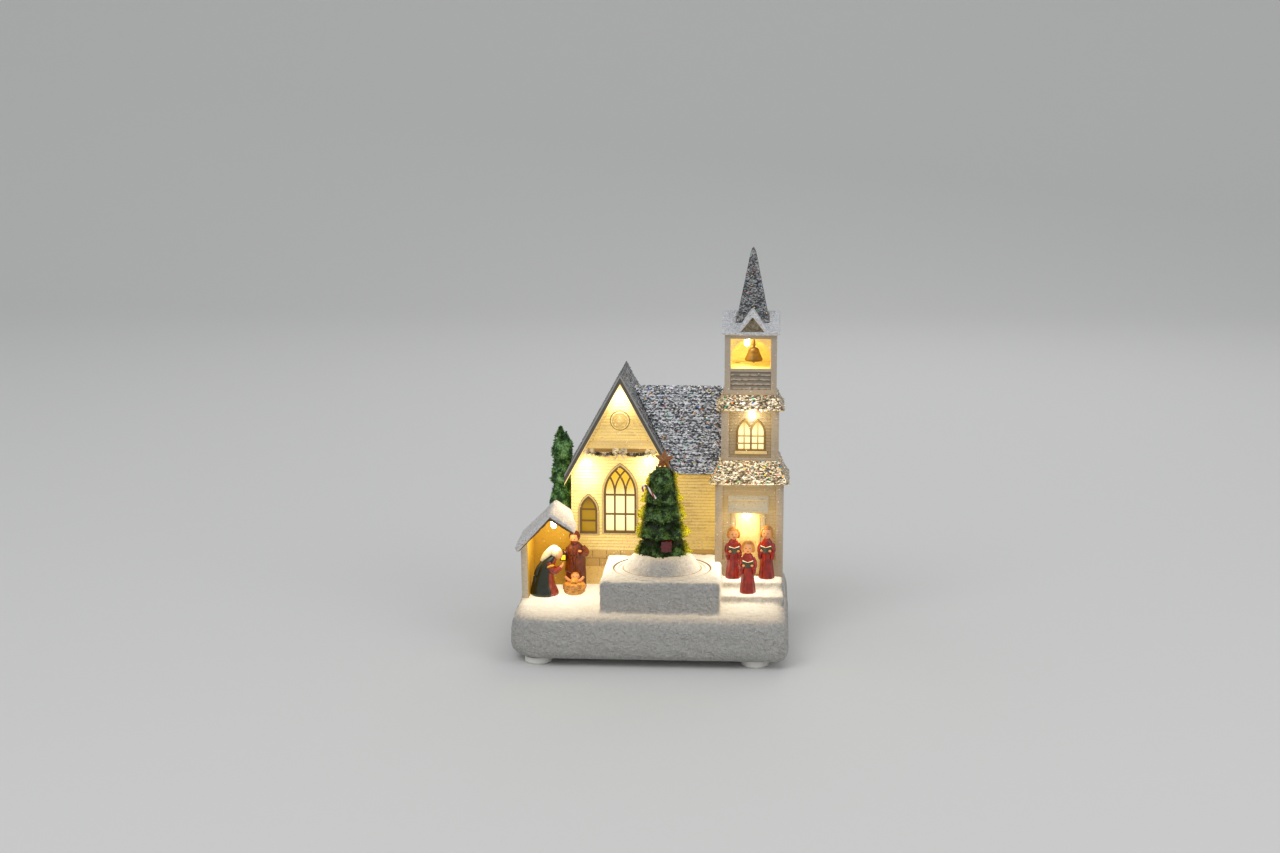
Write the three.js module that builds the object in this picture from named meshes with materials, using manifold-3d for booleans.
// Lit village church on a snowy base, with a turning tree, a stable scene and a choir.
// Millimetres. X runs to the right, Y to the back and Z up. The origin is on the table, under the
// middle of the base. Each piece of the ornament is one named mesh.
import * as THREE from "three";
import { ConvexGeometry } from "three/addons/geometries/ConvexGeometry.js";
import { mergeVertices } from "three/addons/utils/BufferGeometryUtils.js";
import Module from "manifold-3d";

const wasm = await Module();
wasm.setup();

// Clearance between pieces that are glued, clipped or seated on each other.
const GAP = 0.3;

// Snow base
const BASE_W = 176;
const BASE_D = 150;
const BASE_H = 27;
const SHELL = 4;
const FOOT_R = 8.7;
const FOOT_H = 4.2;
const FOOT_INSET_X = 19.5;
const FOOT_INSET_Y = 15;
const FOOT_SHIFT = -1.2;
const PLATFORM_W = 75.4;
const PLATFORM_X = 6.8;
const PLATFORM_FRONT = -59;
const PLATFORM_RISE = 20.4;
const STEP_LOW_RISE = 5.2;
const STEP_TOP_RISE = 6;
const STEP_TREAD = 14.5;

// Turntable and tree
const TURN_X = 6.6;
const TURN_Y = -22;
const TURN_R = 31;
const MOUND_R = 24.8;
const MOUND_H = 9.6;
const TREE_R = 17.8;
const TREE_H = 56.4;
const TREE_TIERS = 5;
const STAR_LEAN = 0.1;
const STAR_R = 7;

// Church: the wing faces the front, the nave runs across behind it and behind the tower
const WALL = 3;
const ROOF_T = 2.2;
const LAP_PITCH = 2.1;
const LAP_DEPTH = 0.4;
const SHINGLE_PITCH = 2.7;
const SHINGLE_STEP = 0.5;
const WING_X = -22.6;
const WING_W = 65.2;
const WING_FRONT = 12.5;
const WING_RIDGE = 172.4;
const WING_EAVE = 105.8;
const EAVE_REACH = 4.1;
const BARGE_REACH = 4;
const NAVE_SETBACK = 5;
const NAVE_D = 52.4;
const NAVE_RIDGE = 160.4;
const NAVE_SLOPE = 1.756;
const NAVE_RIGHT = 74.5;
const PLINTH_H = 23.2;
const PLINTH_OUT = 1;

// Windows of the wing: half width, sill and spring of the pointed arch
const BIG_HALF = 11.8;
const BIG_SILL = 65.5;
const BIG_SPRING = 93;
const BIG_SHIFT = -0.3;
const SMALL_HALF = 6.9;
const SMALL_SILL = 64.8;
const SMALL_SPRING = 80.6;
const SMALL_SHIFT = -21.2;
const FRAME_W = 2.4;
const BAR_W = 1.1;
const PANE_T = 0.6;

// Tower
const TOWER_X = 62.2;
const TOWER_Y = 20.2;
const LOW_W = 44.4;
const MID_W = 37.3;
const BELL_W = 33.6;
const LOW_TOP = 103.6;
const LOW_SKIRT_REACH = 3.1;
const LOW_SKIRT_H = 14.4;
const MID_H = 33;
const MID_SKIRT_REACH = 2.9;
const MID_SKIRT_H = 9.4;
const BELFRY_H = 38.8;
const TOWER_RIDGE_RISE = 13.6;
const TOWER_EAVE_REACH = 1.9;
const SPIRE_SHIFT = 1;
const SPIRE_HALF = 11.3;
const SPIRE_H = 50;
const POST_W = 4.9;
const PANEL_DEPTH = 2.2;
const BELL_R = 6;
const BELL_H = 10.6;
const DOOR_W = 15.6;
const DOOR_H = 41;
const AWNING_W = 26.2;
const AWNING_H = 10.6;
const AWNING_OUT = 6.5;

// Stable
const STABLE_INSET = 3.6;
const STABLE_FRONT = -27;
const STABLE_RIDGE_INSET = 23;
const STABLE_RIDGE = 88.6;
const STABLE_EAVE_LEFT = 67.2;
const STABLE_EAVE_RIGHT = 78.4;
const STABLE_RIGHT = -49.4;
const STABLE_ROOF_T = 3.8;
const STABLE_WALL = 4.4;
const STABLE_ROOF_OUT = 3.6;

// Height of a singer of the choir
const SINGER_H = 35;

// Rear evergreen
const REAR_TREE_X = -62.8;
const REAR_TREE_Y = 26;
const REAR_TREE_R = 9.4;
const REAR_TREE_H = 99;

// Cells, drive and switch in the base
const CELL_R = 7.1;
const CELL_L = 49;
const CELL_PITCH = 15.2;
const CELL_COUNT = 3;
const BAY_FROM_LEFT = 52;
const BAY_FROM_BACK = 48;
const COVER_T = 2.2;
const BAY_WALL = 3;
const SPINDLE_R = 3;
const GEARBOX_W = 36;
const GEARBOX_H = 14;
const MOTOR_R = 10;
const MOTOR_H = 20;
const SWITCH_FROM_RIGHT = 46;
const SWITCH_FROM_BACK = 35;
const BOARD_FROM_RIGHT = 43;
const BOARD_FROM_BACK = 63;
const SWITCH_TRAVEL = 4;
const BULB_R = 1.8;
const HALL_LAMP_H = 50.6;

// Levels and planes that follow from the sizes above
const COVER_Z = FOOT_H + GAP;
const GROUND = COVER_Z + BASE_H;
const PLATFORM = GROUND + PLATFORM_RISE;
const STEP_LOW = GROUND + STEP_LOW_RISE;
const STEP_TOP = STEP_LOW + STEP_TOP_RISE;
const WALL_FOOT = GROUND + GAP;
const WING_LEFT = WING_X - WING_W / 2;
const WING_RIGHT = WING_X + WING_W / 2;
const NAVE_FRONT = WING_FRONT + NAVE_SETBACK;
const STABLE_LEFT = -BASE_W / 2 + STABLE_INSET;
const STABLE_RIDGE_X = -BASE_W / 2 + STABLE_RIDGE_INSET;
const NAVE_BACK = NAVE_FRONT + NAVE_D;
const NAVE_RIDGE_Y = (NAVE_FRONT + NAVE_BACK) / 2;
const WING_SLOPE = (WING_RIDGE - WING_EAVE) / (WING_W / 2 + EAVE_REACH);
const TOWER_FRONT = TOWER_Y - LOW_W / 2;
const TOWER_BACK = TOWER_Y + LOW_W / 2;
const TOWER_LEFT = TOWER_X - LOW_W / 2;
const TOWER_RIGHT = TOWER_X + LOW_W / 2;
const MID_FOOT = LOW_TOP + GAP + LOW_SKIRT_H + GAP;
const MID_TOP = MID_FOOT + MID_H;
const BELFRY_FOOT = MID_TOP + GAP + MID_SKIRT_H + GAP;
const BELFRY_TOP = BELFRY_FOOT + BELFRY_H;
const TURN_TOP = PLATFORM + 0.2;
const PLATE_T = 3;

// Finishes
const finish = (color, roughness, metalness = 0) =>
  new THREE.MeshStandardMaterial({ color, roughness, metalness, flatShading: true });
const SNOW = finish(0xd9d7d2, 0.85);
const SIDING = finish(0xd8cda8, 0.7);
const SHINGLE = finish(0x6d6f72, 0.45, 0.3);
const TRIM = finish(0x9a8d78, 0.6, 0.2);
const PANE = finish(0xf2d888, 0.35);
const FOLIAGE = finish(0x1f4a26, 0.8);
const COPPER = finish(0xa9673a, 0.4, 0.4);
const CANDY = finish(0xd8c9c4, 0.4);
const GIFT = finish(0x6b1f22, 0.4);
const ROBE = finish(0x7d1c16, 0.5);
const CLOAK = finish(0x5e2a17, 0.55);
const VEIL = finish(0x24382c, 0.5);
const STRAW = finish(0xc78a3c, 0.6);
const PLASTIC = finish(0xe7e5df, 0.5);
const DARK_PLASTIC = finish(0x22242a, 0.5);
const BOARD = finish(0x1c5b3a, 0.5);
const STEEL = finish(0xb9bcc0, 0.3, 0.9);
const CELL_SKIN = finish(0x3a3f46, 0.4, 0.3);
const BRONZE = finish(0x8b7a52, 0.45, 0.6);
const BULB = finish(0xfff1b8, 0.15);
const GILT = finish(0xc2a868, 0.4, 0.6);

// A closed skin as a solid that can be joined and cut. A skin that faces inwards is turned round.
function solid(geometry) {
  const bare = geometry.index ? geometry.toNonIndexed() : geometry.clone();
  bare.deleteAttribute("normal");
  bare.deleteAttribute("uv");
  const merged = mergeVertices(bare, 1e-4);
  const corners = merged.index.array;
  const faces = [];
  for (let i = 0; i < corners.length; i += 3) {
    const [a, b, c] = corners.slice(i, i + 3);
    if (a !== b && b !== c && a !== c) faces.push(a, b, c);
  }
  const make = (list) =>
    new wasm.Manifold(
      new wasm.Mesh({
        numProp: 3,
        vertProperties: new Float32Array(merged.attributes.position.array),
        triVerts: new Uint32Array(list),
      }),
    );
  const made = make(faces);
  return made.volume() < 0 ? make(faces.reverse()) : made;
}

const joined = (...solids) => solids.reduce((all, next) => all.add(next));
const cut = (body, ...tools) => tools.reduce((left, tool) => left.subtract(tool), body);
const V = (x, y, z) => new THREE.Vector3(x, y, z);
const outline = (points) => new THREE.Shape(points.map(([u, v]) => new THREE.Vector2(u, v)));

// An outline as a flat block, without the doubled points that two curves leave where they meet.
function drawn(shape, depth) {
  const points = shape.getPoints(6);
  const clean = points.filter((p, i) => p.distanceTo(points.at(i - 1)) > 1e-3);
  return new THREE.ExtrudeGeometry(new THREE.Shape(clean), { depth, bevelEnabled: false });
}

// A plan outline (x, y) that stands from z0 to z1.
const standing = (shape, z0, z1) => solid(drawn(shape, z1 - z0).translate(0, 0, z0));

// An outline seen from the front (x, z) that runs back from y0 to y1.
const running = (shape, y0, y1) =>
  solid(drawn(shape, y1 - y0).rotateX(Math.PI / 2).translate(0, y1, 0));

// An outline seen from the side (y, z) that runs right from x0 to x1.
const SIDE_TURN = new THREE.Matrix4().makeBasis(V(0, 1, 0), V(0, 0, 1), V(1, 0, 0));
const spanning = (shape, x0, x1) =>
  solid(drawn(shape, x1 - x0).applyMatrix4(SIDE_TURN).translate(x0, 0, 0));

const block = (x0, x1, y0, y1, z0, z1) =>
  solid(
    new THREE.BoxGeometry(x1 - x0, y1 - y0, z1 - z0).translate(
      (x0 + x1) / 2,
      (y0 + y1) / 2,
      (z0 + z1) / 2,
    ),
  );

const post = (radius, x, y, z0, z1, sides = 20) =>
  solid(
    new THREE.CylinderGeometry(radius, radius, z1 - z0, sides)
      .rotateX(Math.PI / 2)
      .translate(x, y, (z0 + z1) / 2),
  );

// A profile of [radius, height] from the axis back to the axis, turned about an upright line.
const turned = (profile, x, y, sides = 20) =>
  solid(
    new THREE.LatheGeometry(
      profile.map(([r, z]) => new THREE.Vector2(r, z)),
      sides,
    )
      .rotateX(Math.PI / 2)
      .translate(x, y, 0),
  );

const ball = (x, y, z, rx, ry = rx, rz = rx, sides = 12) =>
  solid(new THREE.SphereGeometry(1, sides, Math.max(5, sides - 4)).scale(rx, ry, rz).translate(x, y, z));

// The hull of two balls: an arm, a fold or any other tapered rod.
function limb(from, r0, to, r1) {
  const skin = new THREE.IcosahedronGeometry(1, 0).getAttribute("position");
  const points = [];
  for (let i = 0; i < skin.count; i++) {
    const way = new THREE.Vector3().fromBufferAttribute(skin, i);
    points.push(from.clone().addScaledVector(way, r0), to.clone().addScaledVector(way, r1));
  }
  return solid(new ConvexGeometry(points));
}

// A skin over rings with equal counts of points, from the lowest up, closed by a fan at each end.
function loft(rings) {
  const count = rings[0].length;
  const middle = (ring) =>
    ring.reduce((sum, p) => sum.add(p), V(0, 0, 0)).divideScalar(ring.length);
  const points = [...rings.flat(), middle(rings[0]), middle(rings.at(-1))];
  const low = rings.length * count;
  const faces = [];
  for (let i = 0; i < count; i++) {
    const next = (i + 1) % count;
    for (let k = 0; k + 1 < rings.length; k++) {
      const [a, b] = [k * count + i, k * count + next];
      const [c, d] = [a + count, b + count];
      faces.push(a, b, d, a, d, c);
    }
    const top = (rings.length - 1) * count;
    faces.push(low, next, i, low + 1, top + i, top + next);
  }
  const geometry = new THREE.BufferGeometry().setFromPoints(points);
  geometry.setIndex(faces);
  return solid(geometry);
}

// A rounded rectangle in plan at height z, with a radius for each corner from the front left round.
function roundedRing(halfW, halfD, radii, z, steps = 5, cx = 0, cy = 0) {
  const centres = [
    [-1, -1, Math.PI],
    [1, -1, 1.5 * Math.PI],
    [1, 1, 0],
    [-1, 1, 0.5 * Math.PI],
  ];
  return centres.flatMap(([sx, sy, start], corner) => {
    const r = Math.max(0.2, Math.min(radii[corner], halfW, halfD));
    return Array.from({ length: steps + 1 }, (_, k) => {
      const angle = start + (k / steps) * (Math.PI / 2);
      return V(
        cx + sx * (halfW - r) + r * Math.cos(angle),
        cy + sy * (halfD - r) + r * Math.sin(angle),
        z,
      );
    });
  });
}

// A block with softened upper edges, as snow or a casting has.
function softBlock(x0, x1, y0, y1, z0, z1, round) {
  const ring = (z, inset) =>
    roundedRing(
      (x1 - x0) / 2 - inset,
      (y1 - y0) / 2 - inset,
      [round, round, round, round],
      z,
      2,
      (x0 + x1) / 2,
      (y0 + y1) / 2,
    );
  return loft([ring(z0, 0), ring(z1 - round, 0), ring(z1 - 0.35 * round, 0.3 * round), ring(z1, round)]);
}

function piece(name, body, material) {
  const { vertProperties, triVerts } = body.getMesh();
  const geometry = new THREE.BufferGeometry();
  geometry.setAttribute("position", new THREE.BufferAttribute(vertProperties, 3));
  geometry.setIndex(new THREE.BufferAttribute(triVerts, 1));
  geometry.computeVertexNormals();
  const mesh = new THREE.Mesh(geometry, material);
  mesh.name = name;
  return mesh;
}

// A pointed arch whose arcs are centred on the opposite jambs. A positive inset draws the
// concentric opening inside it, a negative one the hole that the frame drops into.
function gothic(cx, half, sill, spring, inset = 0, sillInset = inset) {
  const radius = 2 * half - inset;
  const crown = Math.acos(half / radius);
  const shape = new THREE.Shape();
  shape.moveTo(cx - half + inset, sill + sillInset);
  shape.lineTo(cx + half - inset, sill + sillInset);
  shape.lineTo(cx + half - inset, spring);
  shape.absarc(cx - half, spring, radius, 0, crown, false);
  shape.absarc(cx + half, spring, radius, Math.PI - crown, Math.PI, false);
  return shape;
}

// Lapped boards facing the front: each board leans out to its lower edge.
function boards(x0, x1, y, thick, z0, z1) {
  const count = Math.max(1, Math.round((z1 - z0) / LAP_PITCH));
  const rise = (z1 - z0) / count;
  const profile = [[y + thick, z0]];
  for (let i = 0; i < count; i++) {
    profile.push([y, z0 + i * rise], [y + LAP_DEPTH, z0 + (i + 1) * rise]);
  }
  profile.push([y + thick, z1]);
  return spanning(outline(profile), x0, x1);
}

// The same boards turned to face another way about an upright line through (cx, cy).
function turnedAbout(body, cx, cy, quarter) {
  const { vertProperties, triVerts } = body.getMesh();
  const geometry = new THREE.BufferGeometry();
  geometry.setAttribute("position", new THREE.BufferAttribute(vertProperties, 3));
  geometry.setIndex(new THREE.BufferAttribute(triVerts, 1));
  geometry.translate(-cx, -cy, 0).rotateZ((quarter * Math.PI) / 2).translate(cx, cy, 0);
  return solid(geometry);
}

// One roof slope seen from the end, from its eave up to the ridge: shingle courses on the outside.
function courses(eave, ridge, outward) {
  const run = new THREE.Vector2().subVectors(ridge, eave);
  const count = Math.max(1, Math.round(run.length() / SHINGLE_PITCH));
  const normal = new THREE.Vector2(-run.y, run.x).normalize().multiplyScalar(outward * SHINGLE_STEP);
  const points = [];
  for (let i = 0; i < count; i++) {
    const foot = eave.clone().addScaledVector(run, i / count);
    const head = eave.clone().addScaledVector(run, (i + 1) / count);
    if (i + 1 < count) head.sub(normal);
    points.push([foot.x, foot.y], [head.x, head.y]);
  }
  return points;
}

// A gable roof seen from its end: middle, half span, ridge height and slope, as a closed strip.
function gableStrip(middle, half, ridge, slope, thick) {
  const drop = thick * Math.hypot(1, slope);
  const side = thick / Math.hypot(1, slope);
  const top = new THREE.Vector2(middle, ridge);
  const left = new THREE.Vector2(middle - half, ridge - half * slope);
  const right = new THREE.Vector2(middle + half, ridge - half * slope);
  const rising = courses(left, top, 1);
  const falling = courses(right, top, -1).reverse();
  return outline([
    ...rising,
    ...falling,
    [right.x - side * slope, right.y - side],
    [middle, ridge - drop],
    [left.x + side * slope, left.y - side],
  ]);
}

// The space under a gable roof, kept clear of it.
function underRoof(middle, half, ridge, slope, floor, clear) {
  const top = ridge - (ROOF_T + clear) * Math.hypot(1, slope);
  return outline([
    [middle - half, floor],
    [middle + half, floor],
    [middle + half, top - half * slope],
    [middle, top],
    [middle - half, top - half * slope],
  ]);
}

// Snow base: cast shell with the platform, the steps and the hole for the turntable
const CORNERS = [22, 9, 12, 12];
function baseRing(inset, z) {
  const radii = CORNERS.map((r) => Math.max(2, r - inset));
  return roundedRing(BASE_W / 2 - inset, BASE_D / 2 - inset, radii, z, 6);
}
const BASE_PROFILE = [
  [0, 5.6],
  [0.04, 3],
  [0.14, 1],
  [0.3, 0],
  [0.6, 0.3],
  [0.82, 1.6],
  [0.93, 3.8],
  [0.985, 6.6],
  [1, 9.5],
];
const RIM_INSET = 8.6;
const LEDGE_INSET = 10.6;
const LEDGE_Z = COVER_Z + COVER_T + GAP;

const platformBack = NAVE_FRONT - GAP;
const platformLeft = PLATFORM_X - PLATFORM_W / 2;
const platformRight = PLATFORM_X + PLATFORM_W / 2;
const stepRight = TOWER_RIGHT + 0.8;
const stepBack = TOWER_FRONT - GAP;

// Standing room of the walls in plan, grown by the clearance, down to the ground.
const buildingRoom = joined(
  block(WING_LEFT - GAP, WING_RIGHT + GAP, WING_FRONT - PLINTH_OUT - GAP, NAVE_BACK + GAP, GROUND, 300),
  block(WING_RIGHT - GAP, NAVE_RIGHT + GAP, NAVE_FRONT - GAP, NAVE_BACK + GAP, GROUND, 300),
  block(TOWER_LEFT - GAP, TOWER_RIGHT + GAP, TOWER_FRONT - GAP, TOWER_BACK + GAP, GROUND, 300),
);

const plateUnder = TURN_TOP - PLATE_T;
const recessFloor = plateUnder - GAP;
const RECESS_T = 4;
const HUB_R = 7.4;
const snowSkin = joined(
  loft(BASE_PROFILE.map(([share, inset]) => baseRing(inset, COVER_Z + share * BASE_H))),
  softBlock(platformLeft, platformRight, PLATFORM_FRONT, platformBack + 6, GROUND - 2, PLATFORM, 1.6),
  softBlock(
    platformRight - 4,
    stepRight,
    stepBack - 2 * STEP_TREAD,
    stepBack + 6,
    GROUND - 2,
    STEP_LOW,
    1.2,
  ),
  softBlock(
    platformRight - 4,
    stepRight - 0.6,
    stepBack - STEP_TREAD,
    stepBack + 6,
    GROUND - 2,
    STEP_TOP,
    1.2,
  ),
);
const hollowSkin = cut(
  snowSkin,
  loft([baseRing(RIM_INSET, COVER_Z - 1), baseRing(RIM_INSET, LEDGE_Z)]),
  loft([baseRing(LEDGE_INSET, LEDGE_Z - 1), baseRing(LEDGE_INSET + 2, GROUND - SHELL)]),
  block(
    platformLeft + SHELL,
    platformRight - SHELL,
    PLATFORM_FRONT + SHELL,
    WING_FRONT - PLINTH_OUT - SHELL,
    GROUND - SHELL - 2,
    PLATFORM - SHELL,
  ),
);
const snowBase = cut(
  joined(hollowSkin, post(TURN_R + 3.6, TURN_X, TURN_Y, recessFloor - RECESS_T, PLATFORM - 1, 40)),
  buildingRoom,
  post(TURN_R + GAP, TURN_X, TURN_Y, recessFloor, PLATFORM + 1, 40),
  post(HUB_R + 2 * GAP, TURN_X, TURN_Y, recessFloor - RECESS_T - 1, PLATFORM, 24),
);

// Bottom cover with the cell bay, and the feet
const bayX = -BASE_W / 2 + BAY_FROM_LEFT;
const bayY = BASE_D / 2 - BAY_FROM_BACK;
const switchX = BASE_W / 2 - SWITCH_FROM_RIGHT;
const switchY = BASE_D / 2 - SWITCH_FROM_BACK;
const bayHalfX = (CELL_COUNT * CELL_PITCH) / 2 + 0.4;
const bayHalfY = CELL_L / 2 + 3.6;
const bayFloor = COVER_Z + COVER_T + GAP;
const bayRoof = bayFloor + 2 * CELL_R + 2 * GAP;
const DOOR_LIP = 1.5;
const switchHalfX = 4.2;
const switchHalfY = 8;
const knobHalf = 2;
const baseCover = cut(
  joined(
    loft([baseRing(RIM_INSET + GAP, COVER_Z), baseRing(RIM_INSET + GAP, COVER_Z + COVER_T)]),
    block(
      bayX - bayHalfX - BAY_WALL,
      bayX + bayHalfX + BAY_WALL,
      bayY - bayHalfY - BAY_WALL,
      bayY + bayHalfY + BAY_WALL,
      COVER_Z,
      bayRoof + 1.6,
    ),
  ),
  block(bayX - bayHalfX, bayX + bayHalfX, bayY - bayHalfY, bayY + bayHalfY, COVER_Z - 1, bayRoof),
  block(
    bayX - bayHalfX - DOOR_LIP,
    bayX + bayHalfX + DOOR_LIP,
    bayY - bayHalfY - DOOR_LIP,
    bayY + bayHalfY + DOOR_LIP,
    COVER_Z - 1,
    COVER_Z + COVER_T + GAP,
  ),
  block(
    switchX - knobHalf - SWITCH_TRAVEL / 2 - GAP,
    switchX + knobHalf + SWITCH_TRAVEL / 2 + GAP,
    switchY - knobHalf - GAP,
    switchY + knobHalf + GAP,
    COVER_Z - 1,
    COVER_Z + COVER_T + 1,
  ),
);

// Battery door: a plate with finger ribs and a rim that stiffens it inside the bay
const doorHalfX = bayHalfX + DOOR_LIP - GAP;
const doorHalfY = bayHalfY + DOOR_LIP - GAP;
const batteryDoor = cut(
  block(
    bayX - doorHalfX,
    bayX + doorHalfX,
    bayY - doorHalfY,
    bayY + doorHalfY,
    COVER_Z,
    COVER_Z + COVER_T,
  ),
  ...[-2, -1, 0, 1, 2].map((k) =>
    block(
      bayX - 9,
      bayX + 9,
      bayY - bayHalfY + 8 + k * 2,
      bayY - bayHalfY + 9 + k * 2,
      COVER_Z - 1,
      COVER_Z + 0.7,
    ),
  ),
);

// A cell lies along Y: can, shoulder and button
function cellSolid(x, y, z, turnedRound) {
  const half = CELL_L / 2;
  const profile = [
    [0, -half],
    [CELL_R - 0.6, -half],
    [CELL_R, -half + 0.6],
    [CELL_R, half - 2],
    [CELL_R - 0.8, half - 1.2],
    [2.7, half - 1.2],
    [2.5, half],
    [0, half],
  ];
  const geometry = new THREE.LatheGeometry(
    profile.map(([r, l]) => new THREE.Vector2(r, l)),
    12,
  );
  if (turnedRound) geometry.rotateX(Math.PI);
  return solid(geometry.translate(x, y, z));
}
const cellZ = bayFloor + GAP + CELL_R;
const cells = Array.from({ length: CELL_COUNT }, (_, k) =>
  piece(
    `cell_${k + 1}`,
    cellSolid(bayX + (k - (CELL_COUNT - 1) / 2) * CELL_PITCH, bayY, cellZ, k % 2 === 1),
    CELL_SKIN,
  ),
);

// Contact strip: a sheet along the front of the bay with a sprung bump for each cell
const stripY = bayY - bayHalfY + GAP;
const bumpOut = bayHalfY - CELL_L / 2 - 2 * GAP - 0.5;
const contactStrip = joined(
  block(bayX - bayHalfX + GAP, bayX + bayHalfX - GAP, stripY, stripY + 0.5, cellZ - 5, cellZ + 5),
  ...Array.from({ length: CELL_COUNT }, (_, k) =>
    solid(
      new THREE.CylinderGeometry(1.4, 3.2, bumpOut, 8)
        .translate(bayX + (k - (CELL_COUNT - 1) / 2) * CELL_PITCH, stripY + 0.45 + bumpOut / 2, cellZ),
    ),
  ),
);

// Slide switch: a hollow case on the cover and a knob that reaches through the slot
const switchFloor = COVER_Z + COVER_T + GAP;
const switchCase = cut(
  block(
    switchX - switchHalfY,
    switchX + switchHalfY,
    switchY - switchHalfX,
    switchY + switchHalfX,
    switchFloor,
    switchFloor + 7,
  ),
  block(
    switchX - switchHalfY + 1.2,
    switchX + switchHalfY - 1.2,
    switchY - switchHalfX + 1,
    switchY + switchHalfX - 1,
    switchFloor - 1,
    switchFloor + 5.6,
  ),
);
const knobX = switchX - SWITCH_TRAVEL / 2;
const switchKnob = joined(
  block(
    knobX - knobHalf,
    knobX + knobHalf,
    switchY - knobHalf,
    switchY + knobHalf,
    COVER_Z - 1.8,
    switchFloor + 2,
  ),
  block(knobX - 3.4, knobX + 3.4, switchY - 2.8, switchY + 2.8, switchFloor + GAP, switchFloor + 4.4),
);

// Circuit board on the cover, with its chip, capacitor and header
const boardX = BASE_W / 2 - BOARD_FROM_RIGHT;
const boardY = BASE_D / 2 - BOARD_FROM_BACK;
const boardZ = switchFloor;
const circuitBoard = joined(
  block(boardX - 16, boardX + 16, boardY - 12, boardY + 12, boardZ, boardZ + 1.6),
  block(boardX - 4, boardX + 4, boardY - 3, boardY + 3, boardZ + 1.5, boardZ + 3.4),
  post(3, boardX + 10, boardY + 5, boardZ + 1.5, boardZ + 9, 16),
  block(boardX - 13, boardX - 8, boardY - 9, boardY + 3, boardZ + 1.5, boardZ + 6.4),
);

// Drive: gearbox hung under the platform, with its motor below and a spindle up to the turntable
const gearboxTop = recessFloor - RECESS_T - GAP;
const gearboxZ = gearboxTop - GEARBOX_H;
const spindleFoot = gearboxTop - 8;
const earX = GEARBOX_W / 2 - 4;
const earY = GEARBOX_W / 2 + 3;
const gearboxCase = cut(
  joined(
    block(
      TURN_X - GEARBOX_W / 2,
      TURN_X + GEARBOX_W / 2,
      TURN_Y - GEARBOX_W / 2,
      TURN_Y + GEARBOX_W / 2,
      gearboxZ,
      gearboxTop,
    ),
    ...[-1, 1].map((side) =>
      block(
        TURN_X - earX - 5,
        TURN_X + earX + 5,
        TURN_Y + side * earY - 4,
        TURN_Y + side * earY + 4,
        gearboxTop - 3,
        gearboxTop,
      ),
    ),
  ),
  ...[-1, 1].flatMap((sx) =>
    [-1, 1].map((sy) => post(
      1.4,
      TURN_X + sx * earX,
      TURN_Y + sy * earY,
      gearboxTop - 4,
      gearboxTop + 1,
      8,
    )),
  ),
  post(SPINDLE_R + GAP, TURN_X, TURN_Y, spindleFoot - GAP, gearboxTop + 1),
);
const motorCan = joined(
  turned(
    [
      [0, gearboxZ - GAP - MOTOR_H],
      [MOTOR_R - 1, gearboxZ - GAP - MOTOR_H],
      [MOTOR_R, gearboxZ - GAP - MOTOR_H + 1],
      [MOTOR_R, gearboxZ - GAP],
      [0, gearboxZ - GAP],
    ],
    TURN_X - 6,
    TURN_Y - 6,
    20,
  ),
  post(2.4, TURN_X - 6, TURN_Y - 6, gearboxZ - GAP - MOTOR_H - 1.4, gearboxZ - GAP - MOTOR_H + 1, 16),
);
const driveSpindle = cut(
  post(SPINDLE_R, TURN_X, TURN_Y, spindleFoot, plateUnder + 0.6, 24),
  block(
    TURN_X + SPINDLE_R - 0.8,
    TURN_X + SPINDLE_R + 1,
    TURN_Y - 4,
    TURN_Y + 4,
    plateUnder - 3,
    plateUnder + 2,
  ),
);

// Turntable: a round plate flush with the platform, its hub, and the snow mound on it
const moundTop = TURN_TOP + MOUND_H;
const moundTopR = 0.7 * MOUND_R;
const moundProfile = [
  [MOUND_R, TURN_TOP],
  [0.93 * MOUND_R, TURN_TOP + 0.32 * MOUND_H],
  [0.86 * MOUND_R, TURN_TOP + 0.58 * MOUND_H],
  [0.78 * MOUND_R, TURN_TOP + 0.85 * MOUND_H],
  [moundTopR, moundTop],
  [0, moundTop],
];
const turntable = cut(
  turned(
    [
      [0, plateUnder - 1.2],
      [HUB_R - 1, plateUnder - 1.2],
      [HUB_R, plateUnder],
      [TURN_R - 0.4, plateUnder],
      [TURN_R, plateUnder + 0.5],
      [TURN_R, TURN_TOP - 0.5],
      [TURN_R - 0.6, TURN_TOP],
      ...moundProfile,
    ],
    TURN_X,
    TURN_Y,
    28,
  ),
  post(SPINDLE_R + GAP, TURN_X, TURN_Y, plateUnder - 2, plateUnder + 0.6 + GAP),
);

// A cast evergreen: ragged tiers of branches, each tier with its skirt and its waist
function evergreen(x, y, z0, height, radius, slim, tiers, points, lean, ragged) {
  const rings = [];
  const ring = (z, r, jag, turn) => {
    const share = (z - z0) / height;
    return Array.from({ length: points }, (_, k) => {
      const angle = ((k + turn) / points) * 2 * Math.PI;
      const bump = 1 + jag * Math.cos(k * Math.PI) + 0.5 * jag * Math.sin(2.6 * k + 5 * share);
      return V(x + lean * share + r * bump * Math.cos(angle), y + r * bump * Math.sin(angle), z);
    });
  };
  rings.push(ring(z0, 0.62 * radius, 0.02, 0));
  for (let t = 0; t < tiers; t++) {
    const low = t / tiers;
    const wide = radius * (1 - slim * low ** 1.87);
    const zLow = z0 + height * low;
    const tall = height / tiers;
    rings.push(ring(zLow + 0.14 * tall, wide, ragged, 0.5 * t));
    rings.push(ring(zLow + 0.48 * tall, 0.86 * wide, ragged, 0.5 * t));
    const neck = t + 1 === tiers ? 0.36 : 0.64;
    rings.push(ring(zLow + 0.98 * tall, neck * wide, 0.3 * ragged, 0.5 * t));
  }
  rings.push(ring(z0 + height, 0.1 * radius, 0, 0));
  return loft(rings);
}
const treeFoot = moundTop + GAP;
const treeTop = treeFoot + TREE_H;
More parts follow.
